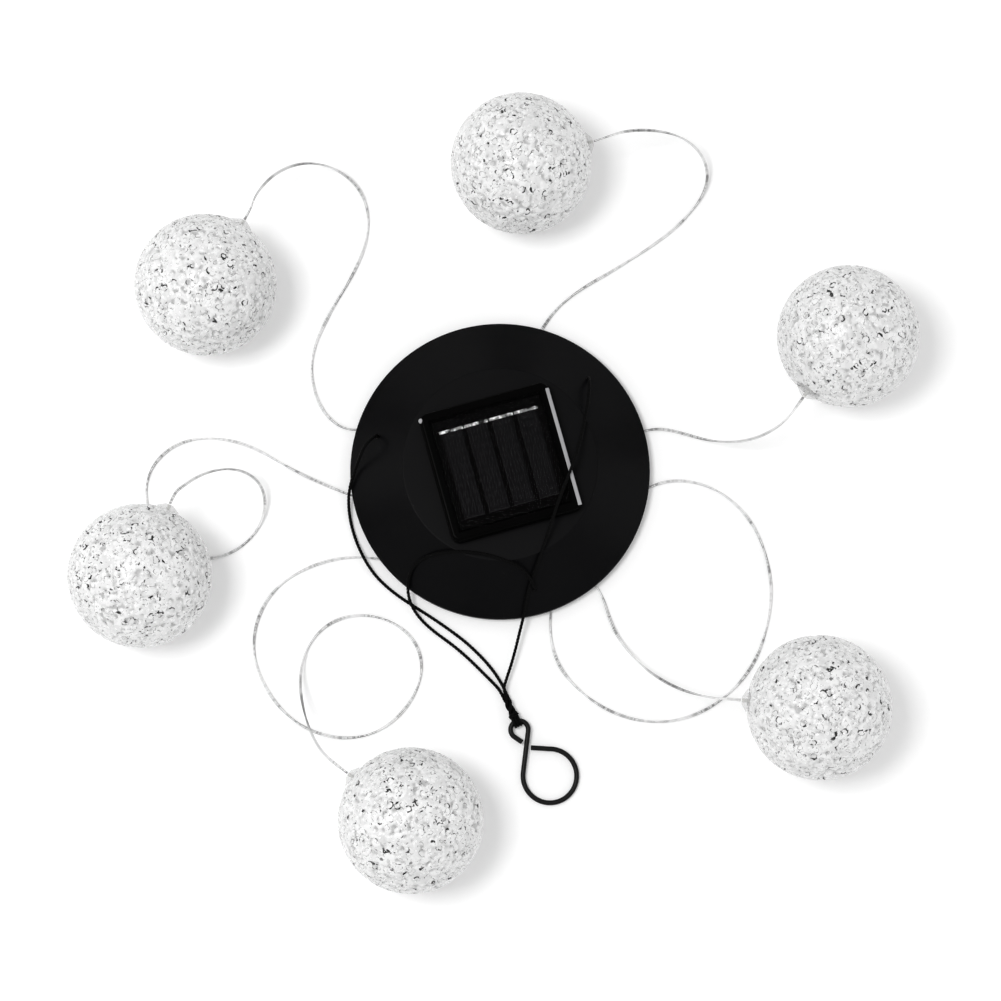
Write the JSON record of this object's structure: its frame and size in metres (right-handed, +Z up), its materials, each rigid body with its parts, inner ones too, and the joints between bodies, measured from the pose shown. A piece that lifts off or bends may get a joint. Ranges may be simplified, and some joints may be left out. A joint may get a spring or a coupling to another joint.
{
  "type": "solar string lights",
  "caption": "Solar light mobile laid flat: a round conical housing with a square solar panel, granule ball lamps on thin leads, and suspension cords tied to a wire hook.",
  "frame": {"origin": "centre of the housing's flat base, on the table", "axes": "+Z up out of the solar panel; +X and +Y along the sides of the square panel, with the hook towards -Y"},
  "size_m": [0.3486, 0.2957, 0.0562],
  "materials": {
    "black_housing": "satin moulded black plastic",
    "cover_black": "matt black plastic",
    "panel_black": "glossy black plastic",
    "panel_glass": "clear resin",
    "backing_black": "black laminate",
    "silicon": "dark silicon with fine grid lines",
    "tinned": "tinned ribbon",
    "steel": "zinc-plated steel",
    "cell_sleeve": "plain sleeve",
    "board_green": "solder mask",
    "chip_black": "moulded components",
    "knob_black": "ridged plastic",
    "wire_silver": "clear sleeve over tinned strands",
    "grommet": "soft rubber",
    "cord_black": "twisted nylon",
    "hook_black": "black painted wire",
    "granule": "fused clear granules",
    "clear_collar": "clear plastic",
    "led_white": "LED with sleeve"
  },
  "bodies": {
    "housing": {"housing_cap": "black_housing", "bottom_cover": "cover_black", "cover_screws": "steel", "battery": "cell_sleeve", "battery_spring": "steel", "battery_contact": "steel", "switch_body": "chip_black", "circuit_board": "board_green", "board_parts": "chip_black", "inner_wires": "wire_silver", "panel_frame": "panel_black", "panel_backing": "backing_black", "solar_cells": "silicon", "cell_busbars": "tinned", "panel_glass": "panel_glass", "lead_grommets": "grommet", "lead_knots": "wire_silver", "cord_stoppers": "cord_black", "cord_knot": "cord_black", "lead_1": "wire_silver", "lead_2": "wire_silver", "lead_3": "wire_silver", "lead_4": "wire_silver", "lead_5": "wire_silver", "lead_6": "wire_silver", "cord_1": "cord_black", "cord_2": "cord_black", "cord_3": "cord_black"},
    "lid": {"battery_lid": "cover_black", "lid_screw": "steel"},
    "switch": {"switch_knob": "knob_black"},
    "hook": {"hook": "hook_black"},
    "ball_1": {"ball_1_shell_near": "granule", "ball_1_shell_far": "granule", "ball_1_collar": "clear_collar", "ball_1_led": "led_white"},
    "ball_2": {"ball_2_shell_near": "granule", "ball_2_shell_far": "granule", "ball_2_collar": "clear_collar", "ball_2_led": "led_white"},
    "ball_3": {"ball_3_shell_near": "granule", "ball_3_shell_far": "granule", "ball_3_collar": "clear_collar", "ball_3_led": "led_white"},
    "ball_4": {"ball_4_shell_near": "granule", "ball_4_shell_far": "granule", "ball_4_collar": "clear_collar", "ball_4_led": "led_white"},
    "ball_5": {"ball_5_shell_near": "granule", "ball_5_shell_far": "granule", "ball_5_collar": "clear_collar", "ball_5_led": "led_white"},
    "ball_6": {"ball_6_shell_near": "granule", "ball_6_shell_far": "granule", "ball_6_collar": "clear_collar", "ball_6_led": "led_white"}
  },
  "joints": [
    {"name": "lid_slide", "type": "slide", "parent": "housing", "child": "lid", "axis": [0, 0, -1], "range_m": [0, 0.015]},
    {"name": "switch_slide", "type": "slide", "parent": "housing", "child": "switch", "axis": [1, 0, 0], "range_m": [0, 0.002]},
    {"name": "hook_swing", "type": "hinge", "parent": "housing", "child": "hook", "pos_m": [-0.02075, -0.09843, 0.00265], "axis": [0.9918, 0.128, 0], "range_deg": [-120, 120]},
    {"name": "ball_1_swing", "type": "hinge", "parent": "housing", "child": "ball_1", "pos_m": [0.12177, -0.00758, 0.0281], "axis": [0, 0, 1], "range_deg": [-45, 45]},
    {"name": "ball_2_swing", "type": "hinge", "parent": "housing", "child": "ball_2", "pos_m": [0.07068, 0.11466, 0.0281], "axis": [0, 0, 1], "range_deg": [-45, 45]},
    {"name": "ball_3_swing", "type": "hinge", "parent": "housing", "child": "ball_3", "pos_m": [-0.07193, 0.12077, 0.0281], "axis": [0, 0, 1], "range_deg": [-45, 45]},
    {"name": "ball_4_swing", "type": "hinge", "parent": "housing", "child": "ball_4", "pos_m": [-0.12904, 0.01796, 0.0281], "axis": [0, 0, 1], "range_deg": [-45, 45]},
    {"name": "ball_5_swing", "type": "hinge", "parent": "housing", "child": "ball_5", "pos_m": [-0.08938, -0.10217, 0.0281], "axis": [0, 0, 1], "range_deg": [-45, 45]},
    {"name": "ball_6_swing", "type": "hinge", "parent": "housing", "child": "ball_6", "pos_m": [0.06463, -0.11557, 0.0281], "axis": [0, 0, 1], "range_deg": [-45, 45]}
  ]
}
